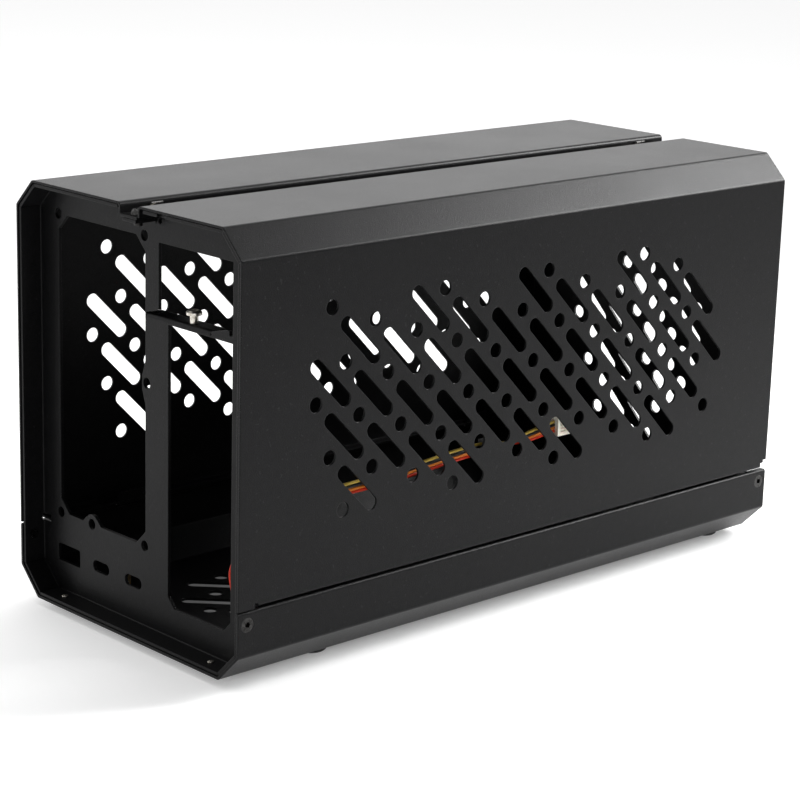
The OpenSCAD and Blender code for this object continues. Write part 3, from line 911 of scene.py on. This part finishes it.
@dataclass
class Studio:
    """Pale floor, soft lights and the photograph's camera.

    Args:
        floor_radius: Radius of the floor disc in metres.
        floor_rings: Rings of points on the disc.
        floor_spokes: Points on each of its rings.
        backdrop: Brightness of the white backdrop behind the object.
        room: Brightness of the room on the camera's side.
        backdrop_way: Direction of the backdrop's middle.
        fade: Shares along backdrop_way between which the room turns into the backdrop.
        softboxes: The lights.
        camera_at: Camera's place in the row frame, in metres.
        azimuth: Angle of the camera round the object from the near side's normal, in degrees.
        elevation: Angle of the camera above the horizon, in degrees.
        roll: Turn of the camera round its own axis, in degrees.
        focal: Focal length in millimetres.
        sensor: Width of the camera's sensor in millimetres.
        clip: Nearest and farthest distance that the camera sees, in metres.
    """

    floor_radius: float = 6.0
    floor_rings: int = 24
    floor_spokes: int = 96
    backdrop: float = 1.42
    room: float = 0.18
    backdrop_way: tuple[float, float, float] = (0.35, 0.93, 0.0)
    fade: tuple[float, float] = (-0.3, 0.8)
    softboxes: tuple[Softbox, ...] = (
        Softbox(
            "key_softbox",
            place=(0.93, -0.38, 0.68),
            aim=(0.14, -0.06, 0.15),
            size=(0.42, 0.56),
            watts=2.1,
            spread=55.0,
        ),
        Softbox(
            "edge_strip_light",
            place=(0.95, -0.70, 0.45),
            aim=(0.10, -0.06, 0.13),
            size=(0.10, 0.40),
            watts=0.08,
            spread=45.0,
        ),
        Softbox(
            "overhead_softbox",
            place=(0.1, 0.45, 1.6),
            aim=(0.0, 0.1, 0.1),
            size=(1.2, 1.2),
            watts=10.0,
        ),
    )
    camera_at: Place = (-0.6208, -0.6501, 0.3064)
    azimuth: float = -43.31
    elevation: float = 14.84
    roll: float = 1.59
    focal: float = 106.95
    sensor: float = 36.0
    clip: tuple[float, float] = (0.01, 50.0)

    def build_floor(self) -> None:
        """Makes the floor as a disc.

        Formula: x = r cos a, y = r sin a, with r from 1 mm to the floor's radius in even steps.
        """
        radius = np.linspace(MM, self.floor_radius, self.floor_rings)[:, None]
        angle = np.linspace(0.0, 2 * np.pi, self.floor_spokes, endpoint=False)[None, :]
        flat = np.zeros((self.floor_rings, self.floor_spokes))
        points = np.stack([radius * np.cos(angle), radius * np.sin(angle), flat], axis=-1)
        floor = grid_mesh("floor", points[::-1], closed_across=True, capped=False)
        floor.data.materials.append(PaleFloor().material())
        log.info("floor: %d faces", len(floor.data.polygons))

    def build_world(self) -> None:
        """Makes the room: a white backdrop that fades to a dim room on the camera's side.

        Formula: strength = smooth step, from room to backdrop, of the direction's share along
        backdrop_way.
        """
        world = bpy.data.worlds.new("studio_room")
        world.use_nodes = True
        nodes, links = world.node_tree.nodes, world.node_tree.links
        background = nodes["Background"]
        background.inputs["Color"].default_value = (*WHITE, 1.0)
        share = nodes.new("ShaderNodeVectorMath")
        share.operation = "DOT_PRODUCT"
        share.inputs[1].default_value = self.backdrop_way
        links.new(nodes.new("ShaderNodeTexCoord").outputs["Generated"], share.inputs[0])
        ramp = nodes.new("ShaderNodeMapRange")
        ramp.interpolation_type = "SMOOTHSTEP"
        ramp.inputs["From Min"].default_value, ramp.inputs["From Max"].default_value = self.fade
        ramp.inputs["To Min"].default_value = self.room
        ramp.inputs["To Max"].default_value = self.backdrop
        links.new(share.outputs["Value"], ramp.inputs["Value"])
        links.new(ramp.outputs["Result"], background.inputs["Strength"])
        bpy.context.scene.world = world
        bpy.context.scene.view_settings.view_transform = "Standard"

    def build_camera(self) -> None:
        """Makes the camera from its angles.

        Formula: back points from the object to the camera, level is +Z crossed with back, and
        upright is back crossed with level. The roll turns both round back to right and up.
        """
        a, e, r = (math.radians(v) for v in (self.azimuth, self.elevation, self.roll))
        back = Vector((math.sin(a) * math.cos(e), -math.cos(a) * math.cos(e), math.sin(e)))
        level = Vector((0, 0, 1)).cross(back).normalized()
        upright = back.cross(level)
        right = math.cos(r) * level + math.sin(r) * upright
        up = math.cos(r) * upright - math.sin(r) * level
        data = bpy.data.cameras.new("camera")
        data.sensor_width = self.sensor
        data.lens = self.focal
        data.clip_start, data.clip_end = self.clip
        camera = bpy.data.objects.new("camera", data)
        turn = Matrix((right, up, back)).transposed().to_4x4()
        camera.matrix_world = Matrix.Translation(self.camera_at) @ turn
        bpy.context.scene.collection.objects.link(camera)
        bpy.context.scene.camera = camera

    def build(self) -> None:
        """Builds the whole studio."""
        self.build_floor()
        self.build_world()
        for softbox in self.softboxes:
            softbox.build()
        self.build_camera()


def main() -> None:
    """Dresses the frame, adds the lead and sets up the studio."""
    paints = Paints()
    SheetMetal().dress(paints)
    Hardware().dress(paints)
    InternalLead().build(paints)
    Studio().build()


if __name__ == "__main__":
    main()
